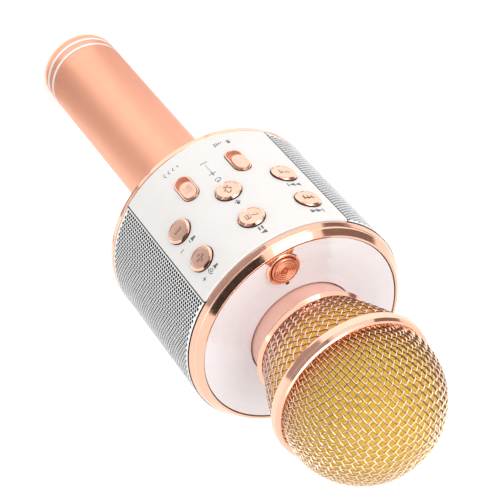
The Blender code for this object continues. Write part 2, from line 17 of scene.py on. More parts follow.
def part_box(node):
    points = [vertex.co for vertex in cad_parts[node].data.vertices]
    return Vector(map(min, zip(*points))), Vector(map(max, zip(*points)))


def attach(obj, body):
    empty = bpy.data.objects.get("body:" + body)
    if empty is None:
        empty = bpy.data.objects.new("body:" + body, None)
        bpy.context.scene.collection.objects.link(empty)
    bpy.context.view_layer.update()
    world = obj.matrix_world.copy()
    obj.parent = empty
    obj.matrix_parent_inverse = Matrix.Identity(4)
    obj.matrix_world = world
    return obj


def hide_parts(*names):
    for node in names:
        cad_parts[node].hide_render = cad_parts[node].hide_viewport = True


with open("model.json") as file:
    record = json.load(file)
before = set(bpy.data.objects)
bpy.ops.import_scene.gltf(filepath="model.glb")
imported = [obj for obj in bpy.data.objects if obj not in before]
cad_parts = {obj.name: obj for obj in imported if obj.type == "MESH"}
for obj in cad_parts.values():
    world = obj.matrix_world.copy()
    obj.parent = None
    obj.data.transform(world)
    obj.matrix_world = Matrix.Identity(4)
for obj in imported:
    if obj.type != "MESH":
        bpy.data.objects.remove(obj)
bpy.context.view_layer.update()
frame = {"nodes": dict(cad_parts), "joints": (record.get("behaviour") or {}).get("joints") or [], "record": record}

MM = 0.001
TAU = 2 * math.pi
ROUND = 160
SCREW_STEPS = 48
BUTTON_STEPS = 96
FILLET_STEPS = 5
SHARP_TURN = math.radians(32)
SEAM = 0.12
PANEL_SEAM = 0.22
GRILLE_GAP = 0.5
SEAL_WIDTH = 0.44
BODY_OF = {n: b for b, nodes in frame["record"]["behaviour"]["bodies"].items() for n in nodes}
SLOT_OF = {s["node"]: s["material_slot"] for s in frame["record"]["subparts"]}
JOINTS = {j["name"]: j for j in frame["joints"]}


# ---------------- measures of the frame

def span(node):
    """Lowest and highest corner of a CAD node, in millimetres."""
    low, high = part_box(node)
    return low / MM, high / MM


def middle(node):
    low, high = span(node)
    return (low + high) / 2


DRUM_RADIUS = -span("front_panel")[0].y
PANEL_BOTTOM = span("front_panel")[0].z
PANEL_TOP = span("front_panel")[1].z
PANEL_HALF_ANGLE = math.asin(span("front_panel")[1].x / DRUM_RADIUS)
GRILLE_RADIUS = span("left_grille")[1].x
HANDLE_RADIUS = span("handle_tube")[1].x
FOAM_HEIGHTS = span("lower_basket")[0].z, span("upper_dome")[1].z - 4.0


def polar(radius, angle, height):
    """A point at an angle about Z, from -Y towards +X."""
    return radius * math.sin(angle), -radius * math.cos(angle), height


# ---------------- materials

def srgb(red, green, blue):
    """A colour given as it looks on screen, from 0 to 255, turned into linear light."""
    shares = [c / 255 for c in (red, green, blue)]
    return tuple(s / 12.92 if s < 0.04045 else ((s + 0.055) / 1.055) ** 2.4 for s in shares)


CARD_PATCH = 20.0
CARD_ROUGHNESS = 0.9


class Look:
    """A node material with a Principled shader, and short calls that add texture to it."""

    def __init__(self, roughness, metallic=0.0, **sockets):
        self.material = bpy.data.materials.new("look")
        self.material.use_nodes = True
        self.tree = self.material.node_tree
        self.shader = self.tree.nodes["Principled BSDF"]
        self.shader.inputs["Roughness"].default_value = roughness
        self.shader.inputs["Metallic"].default_value = metallic
        for socket, value in sockets.items():
            self.shader.inputs[socket.replace("_", " ")].default_value = value
        self.place = self.add("ShaderNodeTexCoord").outputs["Object"]

    def add(self, kind, **settings):
        node = self.tree.nodes.new(kind)
        for key, value in settings.items():
            setattr(node, key, value)
        return node

    def link(self, output, socket):
        self.tree.links.new(output, socket)

    def noise(self, size, detail=3.0):
        """Soft noise whose grain is about size millimetres."""
        node = self.add("ShaderNodeTexNoise")
        node.inputs["Scale"].default_value = 1 / (size * MM)
        node.inputs["Detail"].default_value = detail
        self.link(self.place, node.inputs["Vector"])
        return node.outputs["Fac"]

    def cells(self, size, feature="F1"):
        node = self.add("ShaderNodeTexVoronoi", feature=feature)
        node.inputs["Scale"].default_value = 1 / (size * MM)
        self.link(self.place, node.inputs["Vector"])
        return node.outputs["Distance"]

    def climb(self, low, high):
        """A share that grows from 0 to 1 between two heights."""
        parts = self.add("ShaderNodeSeparateXYZ")
        self.link(self.place, parts.inputs["Vector"])
        return self.stretched(parts.outputs["Z"], low * MM, high * MM)

    def stretched(self, value, *limits):
        """A value moved from one range to another, the second one from 0 to 1 if not given."""
        node = self.add("ShaderNodeMapRange")
        for socket, limit in zip(("From Min", "From Max", "To Min", "To Max"), limits):
            node.inputs[socket].default_value = limit
        self.link(value, node.inputs["Value"])
        return node.outputs["Result"]

    def ramp(self, value, *stops):
        """Colours by value: each stop is a position and a colour."""
        node = self.add("ShaderNodeValToRGB")
        ramp = node.color_ramp
        while len(ramp.elements) < len(stops):
            ramp.elements.new(0.5)
        for element, (position, colour) in zip(ramp.elements, stops):
            element.position = position
            element.color = (*colour, 1.0)
        self.link(value, node.inputs["Fac"])
        return node.outputs["Color"]

    def times(self, colour, shade):
        """One colour multiplied by another."""
        node = self.add("ShaderNodeMix", data_type="RGBA", blend_type="MULTIPLY")
        node.inputs["Factor"].default_value = 1.0
        self.link(colour, node.inputs[6])
        self.link(shade, node.inputs[7])
        return node.outputs[2]

    def colour(self, output):
        self.link(output, self.shader.inputs["Base Color"])
        return self

    def rough(self, value, low, high):
        """Roughness that follows a texture between two values."""
        self.link(self.stretched(value, 0.3, 0.7, low, high), self.shader.inputs["Roughness"])
        return self

    def bump(self, value, depth, strength=1.0):
        """Relief of the given depth in millimetres."""
        node = self.add("ShaderNodeBump")
        node.inputs["Strength"].default_value = strength
        node.inputs["Distance"].default_value = depth * MM
        self.link(value, node.inputs["Height"])
        before = self.shader.inputs["Normal"]
        if before.is_linked:
            self.link(before.links[0].from_socket, node.inputs["Normal"])
        self.link(node.outputs["Normal"], before)
        return self


LOOKS = {}


def keep(name, look):
    look.material.name = name
    LOOKS[name] = look.material


def kept(make):
    """Keep the look that a function makes under the function's name."""
    keep(make.__name__, make())
    return make


def tinted(colour, spread, size, roughness, metallic=0.0, rough=None, relief=None, **sockets):
    """A material whose colour drifts a little, by the share spread, over patches of a size.

    rough is a grain size with the lowest and highest roughness, and relief is a grain size with
    its detail and its depth.
    """
    look = Look(roughness, metallic, **sockets)
    darker = tuple(c * (1 - spread) for c in colour)
    lighter = tuple(min(1.0, c * (1 + spread)) for c in colour)
    look.colour(look.ramp(look.noise(size), (0.3, darker), (0.7, lighter)))
    if rough:
        grain, low, high = rough
        look.rough(look.noise(grain), low, high)
    if relief:
        grain, detail, depth = relief
        look.bump(look.noise(grain, detail), depth)
    return look


@kept
def rose_satin():
    """Fine blasted and anodised rose-gold tube."""
    return tinted(srgb(248, 186, 156), 0.02, 9.0, 0.5, 0.8, (0.5, 0.46, 0.54), (0.16, 2.0, 0.004))


@kept
def rose_plating():
    return tinted(srgb(255, 204, 178), 0.015, 6.0, 0.1, 1.0, (1.4, 0.07, 0.15), (3.0, 1.0, 0.006))


@kept
def rose_brushed():
    """Plating over a fine grain, on the middle of a button and on a slider's knob."""
    return tinted(srgb(238, 200, 179), 0.03, 2.0, 0.3, 0.85, (0.3, 0.26, 0.38), (0.12, 2.0, 0.004))


@kept
def pale_plating():
    return tinted(srgb(252, 248, 248), 0.02, 2.0, 0.2, 0.2, (0.6, 0.15, 0.26))


@kept
def copper_plating():
    return tinted(srgb(230, 154, 124), 0.07, 1.4, 0.25, 0.9, (0.4, 0.2, 0.34), (0.2, 2.0, 0.006))


@kept
def groove_painted_shade():
    """Painted shade in the groove round the raised sign on a button: a thin dark plate under the sign."""
    return tinted(srgb(128, 88, 72), 0.1, 0.5, 0.4, 0.6, (0.2, 0.35, 0.5))


@kept
def gap_painted_shade():
    """Painted shade on the side of a button and of a slider well's rim, in the gap round them."""
    return tinted(srgb(92, 48, 38), 0.1, 0.8, 0.4, 0.5, (0.3, 0.35, 0.5))


@kept
def white_panel():
    return tinted(srgb(233, 230, 227), 0.012, 5.0, 0.38, 0.0, (0.7, 0.34, 0.44), (0.22, 3.0, 0.004))


@kept
def white_gloss():
    colour = srgb(243, 239, 242)
    return tinted(colour, 0.01, 8.0, 0.12, relief=(7.0, 1.0, 0.02), Coat_Weight=1.0, Coat_Roughness=0.04)


@kept
def white_mesh():
    return tinted(srgb(250, 250, 250), 0.015, 3.0, 0.45, relief=(0.25, 2.0, 0.006))


@kept
def peach_satin():
    return tinted(srgb(255, 202, 184), 0.02, 6.0, 0.36, 0.15, (0.6, 0.32, 0.42), (0.2, 2.0, 0.003))


@kept
def tray_satin():
    """The blasted inside of a slider's well."""
    return tinted(srgb(244, 186, 160), 0.03, 1.5, 0.45, 0.3, relief=(0.2, 2.0, 0.004))


@kept
def wire_plating():
    """Plated wire, pinker round the neck and more golden over the dome."""
    look = Look(0.2, 1.0)
    hue = look.ramp(look.climb(*FOAM_HEIGHTS), (0.4, srgb(255, 235, 224)), (0.5, srgb(255, 232, 203)))
    shade = look.ramp(look.noise(1.0), (0.3, (0.93, 0.93, 0.93)), (0.7, (1.0, 1.0, 1.0)))
    look.colour(look.times(hue, shade))
    return look.rough(look.noise(0.5), 0.15, 0.3)


@kept
def wire_shade():
    """Painted shade on the flank of a wire."""
    return tinted(srgb(84, 36, 22), 0.2, 0.8, 0.6, 0.0, (0.4, 0.55, 0.7))


@kept
def foam():
    """Open-cell foam with soft cells and pores darkened by painted shade, golden at the crown, and turned amber
    and orange by painted shade near the band and towards the neck.
    """
    look = Look(0.95, Sheen_Weight=0.3)
    pores = look.cells(0.42, "DISTANCE_TO_EDGE")
    tone = look.noise(1.1, 4.0)
    mixed = look.add("ShaderNodeMath", operation="MULTIPLY_ADD")
    look.link(pores, mixed.inputs[0])
    mixed.inputs[1].default_value = 0.5
    look.link(tone, mixed.inputs[2])
    amber, orange, golden = srgb(254, 148, 40), srgb(255, 198, 68), srgb(252, 209, 68)
    # The amber and orange stops are painted shade near the band and towards the neck.
    hue = look.ramp(
        look.climb(*FOAM_HEIGHTS),
        (0.0, amber), (0.12, orange), (0.32, orange), (0.42, amber), (0.48, amber), (0.62, golden),
    )
    # The lower stop paints shade into the pores.
    shade = look.ramp(mixed.outputs[0], (0.3, (0.7, 0.56, 0.42)), (0.55, (1.0, 1.0, 1.0)))
    look.colour(look.times(hue, shade))
    look.bump(pores, 0.12, 0.8)
    return look.bump(tone, 0.15, 0.6)


@kept
def print_grey():
    return tinted(srgb(98, 98, 104), 0.08, 0.6, 0.55)


@kept
def pinhole_shade_lens():
    # A near-black lens: painted shade for the light pipe's pinhole.
    return tinted(srgb(26, 26, 30), 0.2, 0.5, 0.15, relief=(0.6, 3.0, 0.01), Coat_Weight=0.5)


@kept
def hole_shade_black():
    # A near-black sheet: painted shade for the inside of the drum seen through the grille holes.
    look = tinted((0.004, 0.004, 0.005), 0.3, 0.8, 0.95)
    return look.bump(look.cells(0.5), 0.05)


@kept
def black_plastic():
    return tinted(srgb(34, 34, 37), 0.15, 2.0, 0.5, 0.0, (0.5, 0.42, 0.58), (0.3, 3.0, 0.01))


@kept
def steel():
    return tinted(srgb(196, 197, 200), 0.04, 2.0, 0.28, 1.0, (0.4, 0.2, 0.36))


@kept
def board_green():
    look = tinted(srgb(26, 112, 58), 0.12, 1.5, 0.4, Coat_Weight=0.3)
    return look.bump(look.cells(1.2, "DISTANCE_TO_EDGE"), 0.02)


@kept
def cone_paper():
    return tinted(srgb(46, 46, 48), 0.15, 1.0, 0.85, relief=(0.4, 5.0, 0.05))


@kept
def cell_wrap():
    return tinted(srgb(50, 110, 190), 0.05, 6.0, 0.3, relief=(4.0, 3.0, 0.03), Coat_Weight=0.4)


@kept
def lead_red():
    return tinted(srgb(190, 40, 34), 0.06, 2.0, 0.45, relief=(0.5, 3.0, 0.01))


@kept
def clear_plastic():
    return tinted(srgb(226, 232, 238), 0.03, 1.0, 0.1, relief=(0.8, 3.0, 0.01), Coat_Weight=0.5)


@kept
def glow_card():
    """Evenly lit white paper."""
    look = tinted((0.1, 0.1, 0.1), 0.05, CARD_PATCH, CARD_ROUGHNESS)
    look.shader.inputs["Emission Color"].default_value = (1, 1, 1, 1)
    look.shader.inputs["Emission Strength"].default_value = 0.95
    return look


@kept
def floor():
    look = Look(0.9, Emission_Color=(1, 1, 1, 1), Emission_Strength=0.34)
    return look.colour(look.ramp(look.noise(60.0), (0.3, (0.9, 0.9, 0.9)), (0.7, (0.93, 0.93, 0.93))))


for card, card_colour, card_spread in (
    ("black_card", (0.02, 0.016, 0.016), 0.3),
    ("brown_card", (0.20, 0.15, 0.14), 0.2),
    ("mauve_card", (0.40, 0.34, 0.35), 0.1),
    ("sand_card", (0.62, 0.54, 0.51), 0.05),
    ("cream_card", (0.80, 0.70, 0.72), 0.05),
):
    keep(card, tinted(card_colour, card_spread, CARD_PATCH, CARD_ROUGHNESS))

LOOK_OF_SLOT = {
    "rose_satin_metal": "rose_satin", "white_grille": "white_mesh", "mesh_wire": "wire_plating",
    "yellow_foam": "foam",
}


def dress_cad_nodes():
    """Every CAD node that stays visible gets the procedural look of its slot, except the light pipe, whose
    near-black lens is painted shade for its pinhole.
    """
    for name, node in frame["nodes"].items():
        slot = SLOT_OF[name]
        # The light pipe is drawn near-black, painted shade of the pinhole it sits in.
        look = "pinhole_shade_lens" if name == "light_pipe" else LOOK_OF_SLOT.get(slot, slot)
        node.data.materials.clear()
        node.data.materials.append(LOOKS[look])


# ---------------- mesh helpers

def add(name, data, look=None, matrix=None):
    """A new object from a mesh, a camera or a light, with a look where it has one."""
    obj = bpy.data.objects.new(name, data)
    bpy.context.scene.collection.objects.link(obj)
    obj.matrix_world = matrix or Matrix.Identity(4)
    if look:
        data.materials.append(LOOKS[look])
    return obj


def mesh_from(name, points, faces):
    mesh = bpy.data.meshes.new(name)
    mesh.from_pydata(points, [], faces)
    return mesh


def mesh_of(bm, name):
    """Turn a bmesh into a mesh and free it."""
    mesh = bpy.data.meshes.new(name)
    bm.to_mesh(mesh)
    bm.free()
    return mesh


def settle(obj):
    """Apply the modifiers, then shade smooth with sharp edges where the surface turns."""
    graph = bpy.context.evaluated_depsgraph_get()
    mesh = bpy.data.meshes.new_from_object(obj.evaluated_get(graph))
    obj.modifiers.clear()
    obj.data = mesh
    mesh.shade_smooth()
    mesh.set_sharp_from_angle(angle=SHARP_TURN)
    step = obj.modifiers.new("normals", "WEIGHTED_NORMAL")
    step.keep_sharp = True
    return obj


def stands_for(obj, *nodes):
    """The piece replaces CAD nodes and rides on their body."""
    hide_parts(*nodes)
    return goes_with(obj, nodes[0])


def goes_with(obj, node):
    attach(obj, BODY_OF[node])
    return obj


def fillet(before, corner, after, radius):
    """Points of an arc that rounds a corner between two straight edges."""
    a = Vector(before) - Vector(corner)
    b = Vector(after) - Vector(corner)
    turn = a.angle(b)
    reach = min(radius / math.tan(turn / 2), 0.49 * a.length, 0.49 * b.length)
    start = Vector(corner) + a.normalized() * reach
    end = Vector(corner) + b.normalized() * reach
    # A quadratic arc through the corner's control point is round enough at this size.
    points = []
    for i in range(FILLET_STEPS + 1):
        t = i / FILLET_STEPS
        points.append(tuple((1 - t) ** 2 * start + 2 * t * (1 - t) * Vector(corner) + t * t * end))
    return points


def rounded(profile):
    """A closed outline of (x, y) or (x, y, corner radius), with its corners rounded."""
    flat = [tuple(p[:2]) for p in profile]
    out = []
    for i, point in enumerate(profile):
        if len(point) == 2 or point[2] <= 0:
            out.append(flat[i])
        else:
            out += fillet(flat[i - 1], flat[i], flat[(i + 1) % len(flat)], point[2])
    return out


def lathe(name, profile, steps, start=0.0, sweep=TAU):
    """A closed (radius, height) outline turned about Z; angles start at -Y and go to +X."""
    points = rounded(profile)
    whole = sweep > TAU - 1e-6
    turns = steps if whole else steps + 1
    bm = bmesh.new()
    rings = []
    for i in range(turns):
        angle = start + sweep * i / steps
        rings.append([bm.verts.new([c * MM for c in polar(r, angle, z)]) for r, z in points])
    for i in range(steps):
        here, there = rings[i], rings[(i + 1) % turns]
        for j in range(len(points)):
            k = (j + 1) % len(points)
            if points[j][0] < 1e-6 and points[k][0] < 1e-6:
                continue
            bm.faces.new((here[j], there[j], there[k], here[k]))
    if not whole:
        bm.faces.new(rings[0])
        bm.faces.new(rings[-1])
    return closed(bm, name)


def closed(bm, name):
    bmesh.ops.remove_doubles(bm, verts=bm.verts, dist=1e-8)
    bmesh.ops.dissolve_degenerate(bm, edges=bm.edges, dist=1e-8)
    bmesh.ops.recalc_face_normals(bm, faces=bm.faces)
    return mesh_of(bm, name)


def turned(name, profile, look, matrix=None, steps=ROUND):
    return settle(add(name, lathe(name, profile, steps), look, matrix))


def upright_at(node):
    """Matrix of an upright axis through the middle of a CAD node."""
    spot = middle(node)
    return Matrix.Translation(Vector((spot.x, spot.y, 0)) * MM)


def on_drum(angle, height):
    """Matrix of a place on the drum's wall, with +Z pointing out and +Y up."""
    spot = Vector(polar(DRUM_RADIUS, angle, height)) * MM
    return Matrix.Translation(spot) @ Matrix.Rotation(angle, 4, "Z") @ Matrix.Rotation(math.pi / 2, 4, "X")


def prism(name, outline, low, high):
    """A closed (x, y) outline made solid between two heights."""
    bm = bmesh.new()
    count = len(outline)
    base = [bm.verts.new((x * MM, y * MM, low * MM)) for x, y in outline]
    top = [bm.verts.new((x * MM, y * MM, high * MM)) for x, y in outline]
    bm.faces.new(base)
    bm.faces.new(top)
    for i in range(count):
        bm.faces.new((base[i], base[(i + 1) % count], top[(i + 1) % count], top[i]))
    return closed(bm, name)


def arc(x, y, radius, start, end, steps):
    """Points on an arc, with angles in degrees."""
    points = []
    for i in range(steps + 1):
        angle = math.radians(start + (end - start) * i / steps)
        points.append((x + radius * math.cos(angle), y + radius * math.sin(angle)))
    return points


def stadium(length, width):
    """Outline of a slot with round ends, its long side along Y."""
    upper = arc(0, (length - width) / 2, width / 2, 0, 180, 16)
    return upper + [(-x, -y) for x, y in upper]


def block(low, high):
    """Outline corners of a rectangle."""
    return [(low[0], low[1]), (high[0], low[1]), (high[0], high[1]), (low[0], high[1])]


def plug(radius, low, high, steps=64):
    """A plain cylinder on Z, to cut a hole with."""
    return lathe("plug", block((0, low), (radius, high)), steps)


def ngon(x, y, radius, count):
    """Corners of a regular polygon, the first one towards +X."""
    turns = [TAU * n / count for n in range(count)]
    return [(x + radius * math.cos(turn), y + radius * math.sin(turn)) for turn in turns]


def cut(obj, cutters, operation="DIFFERENCE"):
    """Boolean the cutter meshes, given as (mesh, matrix), into obj, and drop them."""
    made = []
    for mesh, matrix in cutters:
        tool = add("tool", mesh, matrix=matrix)
        step = obj.modifiers.new("cut", "BOOLEAN")
        step.operation = operation
        step.object = tool
        made.append(tool)
    bpy.context.view_layer.update()
    settle(obj)
    for tool in made:
        bpy.data.objects.remove(tool)
    return obj


def thickened(obj, thickness):
    """Give a surface a thickness, inwards from its face."""
    step = obj.modifiers.new("thickness", "SOLIDIFY")
    step.thickness = thickness * MM
    step.offset = -1
    return settle(obj)


def bevelled(obj, width, angle=40):
    """Round the sharp edges of a piece."""
    step = obj.modifiers.new("edges", "BEVEL")
    step.width = width * MM
    step.segments = 3
    step.limit_method = "ANGLE"
    step.angle_limit = math.radians(angle)
    return settle(obj)


# ---------------- handle

def handle_tube():
    edge = HANDLE_RADIUS
    low, high = span("handle_tube")
    tube = turned("handle_grip", [
        (edge - 1.6, low.z), (edge, low.z, 0.35), (edge, high.z, 0.2), (edge - 1.6, high.z),
    ], "rose_satin")
    stands_for(tube, "handle_tube")


def tail_rings():
    """Two pale trim rings, one on the end of the handle and one in the tail cap's groove."""
    for node, depth in (("tail_ring_upper", 1.8), ("tail_ring_lower", 0.5)):
        low, high = span(node)
        inner = HANDLE_RADIUS - depth
        ring = turned(node + "_bright", [
            (inner, low.z), (high.x, low.z, 0.15), (high.x, high.z, 0.15), (inner, high.z),
        ], "pale_plating")
        stands_for(ring, node)


def tail_cap():
    edge, top = HANDLE_RADIUS, span("tail_cap")[1].z
    groove_low = span("tail_ring_lower")[0].z - SEAM
    groove_high = span("tail_ring_lower")[1].z + SEAM
    shoulder = span("tail_ring_upper")[0].z - 0.1
    cap = turned("tail_knob", [
        (0, 0), (edge - 1.2, 0, 0.4), (edge, 1.2, 1.4), (edge, groove_low, 0.2), (edge - 0.65, groove_low),
        (edge - 0.65, groove_high), (edge, groove_high, 0.2), (edge, shoulder, 0.2), (edge - 2.1, shoulder),
        (edge - 2.1, top, 0.3), (edge - 3.9, top, 0.3), (edge - 3.9, 3.0), (0, 3.0),
    ], "rose_satin")
    stands_for(cap, "tail_cap")


# ---------------- drum

def drum_rings():
    low, high = span("drum_lower_ring")
    edge = high.x
    lower = turned("drum_rim_lower", [
        (edge - 3.8, low.z + 0.3), (edge - 1.0, low.z, 0.4), (edge, low.z + 1.0, 0.8),
        (edge, PANEL_BOTTOM - PANEL_SEAM, 0.35), (edge - 2.5, PANEL_BOTTOM - PANEL_SEAM),
        (edge - 2.5, high.z), (edge - 3.8, high.z),
    ], "rose_plating")
    stands_for(lower, "drum_lower_ring")
    low, high = span("drum_upper_ring")
    edge = high.x
    upper = turned("drum_rim_upper", [
        (edge - 3.6, low.z), (edge - 2.1, low.z), (edge - 2.1, PANEL_TOP + PANEL_SEAM),
        (edge, PANEL_TOP + PANEL_SEAM, 0.3),
        (edge - 1.0, high.z - 2.5, 0.5), (edge - 1.22, high.z - 2.36, 0.1), (edge - 1.3, high.z - 2.0, 0.1),
        (edge - 2.9, high.z, 0.2), (edge - 3.6, high.z - 0.1, 0.15),
    ], "rose_plating")
    stands_for(upper, "drum_upper_ring")


def top_dish():
    low, high = span("top_dish")
    edge, neck = high.x, span("neck_collar")[1].x - 1.0
    dish = turned("dish", [
        (neck, low.z + 1.0), (edge, low.z), (edge, high.z - 0.6, 0.2), (edge - 2.5, high.z - 1.0, 2.0),
        (edge - 8.5, high.z - 1.2, 6.0), (edge - 13.5, high.z - 0.75, 6.0), (neck, high.z, 0.3),
    ], "white_gloss")
    cut(dish, [
        (plug(5.5, low.z - 5, high.z + 5), upright_at("power_button")),
        (plug(0.62, low.z - 5, high.z + 5, 32), upright_at("light_pipe")),
    ])
    stands_for(dish, "top_dish")


def bottom_cover():
    low, high = span("drum_bottom_cover")
    edge = high.x
    screws = [f"cover_screw_{n}" for n in range(1, 5)]
    cover = turned("tail_side_cover", [
        (HANDLE_RADIUS + 0.3, low.z), (HANDLE_RADIUS + 3.4, low.z, 0.6), (edge, high.z - 2.1, 0.3),
        (edge, high.z), (HANDLE_RADIUS + 3.4, low.z + 2.3), (HANDLE_RADIUS + 0.3, low.z + 2.3),
    ], "white_gloss")
    seat = high.z - 1.6
    well = [(0, low.z - 5), (2.9, low.z - 5), (2.9, seat), (1.6, seat), (1.6, high.z + 9), (0, high.z + 9)]
    cut(cover, [(lathe("well", well, SCREW_STEPS), upright_at(node)) for node in screws])
    stands_for(cover, "drum_bottom_cover")
    for node in screws:
        cross_screw(node)


def cross_screw(node):
    """A pan-head screw with a cross recess, its head facing down."""
    low, high = span(node)
    place = upright_at(node)
    screw = turned(node + "_steel", [
        (0, low.z), (1.4, low.z + 0.05), (2.5, low.z + 0.6, 0.4), (2.5, low.z + 1.0), (1.25, low.z + 1.0),
        (1.25, high.z), (0, high.z),
    ], "steel", place, SCREW_STEPS)
    cut(screw, [(prism("arm", block((-x, -y), (x, y)), low.z - 1, low.z + 0.55), place)
                for x, y in ((1.5, 0.3), (0.3, 1.5))])
    stands_for(screw, node)


def wall(name, centre_angle, half_angle, look):
    """A smooth stretch of the drum's moulded wall with softened edges."""
    inner = DRUM_RADIUS - 2.3
    profile = [(inner, PANEL_BOTTOM), (DRUM_RADIUS, PANEL_BOTTOM, 0.4),
               (DRUM_RADIUS, PANEL_TOP, 0.5), (inner, PANEL_TOP)]
    mesh = lathe(name, profile, 110, centre_angle - half_angle, 2 * half_angle)
    return add(name, mesh, look)


def button_place(word):
    """Matrix of a panel button, from its joint's axis and its own height."""
    axis = Vector(JOINTS[word + "_press"]["axis"])
    return on_drum(math.atan2(-axis.x, axis.y), middle(word + "_button").z)


def tray_place(word):
    spot = middle(word + "_tray")
    return on_drum(math.atan2(spot.x, -spot.y), spot.z)


BUTTONS = ("volume_down", "volume_up", "mic_replay", "play_pause", "next_track", "previous_track")
SLIDERS = ("echo", "mic_volume")


def front_panel():
    panel = wall("control_panel", 0.0, PANEL_HALF_ANGLE, "white_panel")
    hole = [(0, -6), (4.6, -6), (4.6, -0.15), (4.85, 0.3), (4.85, 4), (0, 4)]
    cutters = [(lathe("hole", hole, 64), button_place(word)) for word in BUTTONS]
    cutters += [(prism("slot", stadium(12.5, 6.3), -6, 4), tray_place(word)) for word in SLIDERS]
    cut(panel, cutters)
    stands_for(panel, "front_panel")


def gaskets():
    """Thin black seals between the panels and the grilles."""
    for n, turn in enumerate((0, 0, math.pi, math.pi)):
        side = 1 if n % 2 else -1
        middle_angle = turn + side * (PANEL_HALF_ANGLE + GRILLE_GAP / 2 / DRUM_RADIUS)
        sweep = SEAL_WIDTH / DRUM_RADIUS
        profile = block((DRUM_RADIUS - 1.6, PANEL_BOTTOM + 0.1), (DRUM_RADIUS - 0.03, PANEL_TOP - 0.1))
        mesh = lathe("gasket", profile, 2, middle_angle - sweep / 2, sweep)
        goes_with(settle(add(f"gasket_{n + 1}", mesh, "black_plastic")), "front_panel")


def rear_panel():
    panel = wall("port_panel", math.pi, PANEL_HALF_ANGLE, "white_panel")
    port, jack, card = (middle(n).z for n in ("charge_port", "audio_jack", "card_slot"))
    round_hole = lathe("hole", [(0, -6), (3.9, -6), (3.9, -0.1), (4.2, 0.3), (4.2, 4), (0, 4)], 64)
    level = Matrix.Rotation(math.pi / 2, 4, "Z")
    cut(panel, [
        (prism("slot", stadium(9.6, 3.8), -6, 4), on_drum(math.pi, port) @ level),
        (round_hole, on_drum(math.pi, jack)),
        (prism("slot", block((-6.8, -1.4), (6.8, 1.4)), -6, 4), on_drum(math.pi, card)),
    ])
    stands_for(panel, "rear_panel")


HOLE_PITCH = 1.31
HOLE_RADIUS = 0.57
SHEET = 0.12


def perforated_sheet(name, centre_angle, half_angle):
    """A curved sheet punched with staggered round holes, one mesh cell of twelve sides for each."""
    column_step = HOLE_PITCH * math.sqrt(3) / 2
    half_width = half_angle * GRILLE_RADIUS
    columns = 2 * int((half_width - 0.9) / column_step) + 1
    first_x = -column_step * (columns - 1) / 2
    rows = int((PANEL_TOP - PANEL_BOTTOM - 0.6) / HOLE_PITCH)
    first_z = (PANEL_TOP + PANEL_BOTTOM) / 2 - HOLE_PITCH * (rows - 1) / 2
    corner = HOLE_PITCH / math.sqrt(3)
    quads = []
    for c in range(columns):
        odd = c % 2
        x = first_x + c * column_step
        for k in range(rows - odd):
            z = first_z + (k + odd / 2) * HOLE_PITCH
            corners = []
            for n, (px, pz) in enumerate(ngon(x, z, corner, 6)):
                if c == 0 and n in (2, 3, 4):
                    px = -half_width
                if c == columns - 1 and n in (0, 1, 5):
                    px = half_width
                if pz > first_z + (rows - 1.1) * HOLE_PITCH:
                    pz = PANEL_TOP - 0.05
                if pz < first_z + HOLE_PITCH * 0.1:
                    pz = PANEL_BOTTOM + 0.05
                corners.append((px, pz))
            rim = []
            for a, b in zip(corners, corners[1:] + corners[:1]):
                rim += [a, ((a[0] + b[0]) / 2, (a[1] + b[1]) / 2)]
            ring = ngon(x, z, HOLE_RADIUS, 12)
            quads += [(rim[n - 1], rim[n], ring[n], ring[n - 1]) for n in range(12)]
    flat = np.array(quads).reshape(-1, 2)
    _, first, index = np.unique(np.round(flat, 4), axis=0, return_index=True, return_inverse=True)
    flat = flat[first]
    angle = centre_angle + flat[:, 0] / GRILLE_RADIUS
    points = np.stack([GRILLE_RADIUS * np.sin(angle), -GRILLE_RADIUS * np.cos(angle), flat[:, 1]], 1) * MM
    # A cell at a corner of the sheet has two of its points on the same spot, so its faces drop one.
    faces = [list(dict.fromkeys(face)) for face in index.reshape(-1, 4).tolist()]
    return thickened(add(name, mesh_from(name, points.tolist(), faces), "white_mesh"), SHEET)


def grilles():
    half = math.pi / 2 - PANEL_HALF_ANGLE - GRILLE_GAP / DRUM_RADIUS
    for node, centre in (("left_grille", math.pi / 2), ("right_grille", -math.pi / 2)):
        sheet = perforated_sheet(node + "_sheet", centre, half)
        stands_for(sheet, node)
        # Behind each grille, a near-black layer paints the shade of the drum's inside seen through the holes.
        inner = GRILLE_RADIUS - SHEET - 0.25
        profile = block((inner - 0.3, PANEL_BOTTOM), (inner, PANEL_TOP))
        mesh = lathe("hole_shade", profile, 60, centre - half - 0.02, 2 * half + 0.04)
        hole_shade = settle(add(node + "_cloth", mesh, "hole_shade_black"))
        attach(hole_shade, "body")


# ---------------- buttons and sliders

def stroke(points, width):
    """Quads that follow an open line of (x, y) points with the given width."""
    points = [Vector(p) for p in points]
    last = len(points) - 1
    sides = []
    for i, point in enumerate(points):
        before, after = points[max(i - 1, 0)], points[min(i + 1, last)]
        way = (after - before).normalized()
        across = Vector((-way.y, way.x)) * width / 2
        if 0 < i < last:
            across /= max(0.5, (point - before).normalized().dot(way))
        sides.append((tuple(point - across), tuple(point + across)))
    return [[a[0], b[0], b[1], a[1]] for a, b in zip(sides, sides[1:])]


def bar(x, y, width, height):
    return [block((x - width / 2, y - height / 2), (x + width / 2, y + height / 2))]


def arrow(x, y, size, way):
    """A filled triangle that points along X, way +1 or -1."""
    return [[(x - way * size / 2, y - size / 2), (x + way * size / 2, y), (x - way * size / 2, y + size / 2)]]


def moved(shapes, x, y):
    return [[(px + x, py + y) for px, py in shape] for shape in shapes]


def scaled(shapes, across, along):
    return [[(px * across, py * along) for px, py in shape] for shape in shapes]


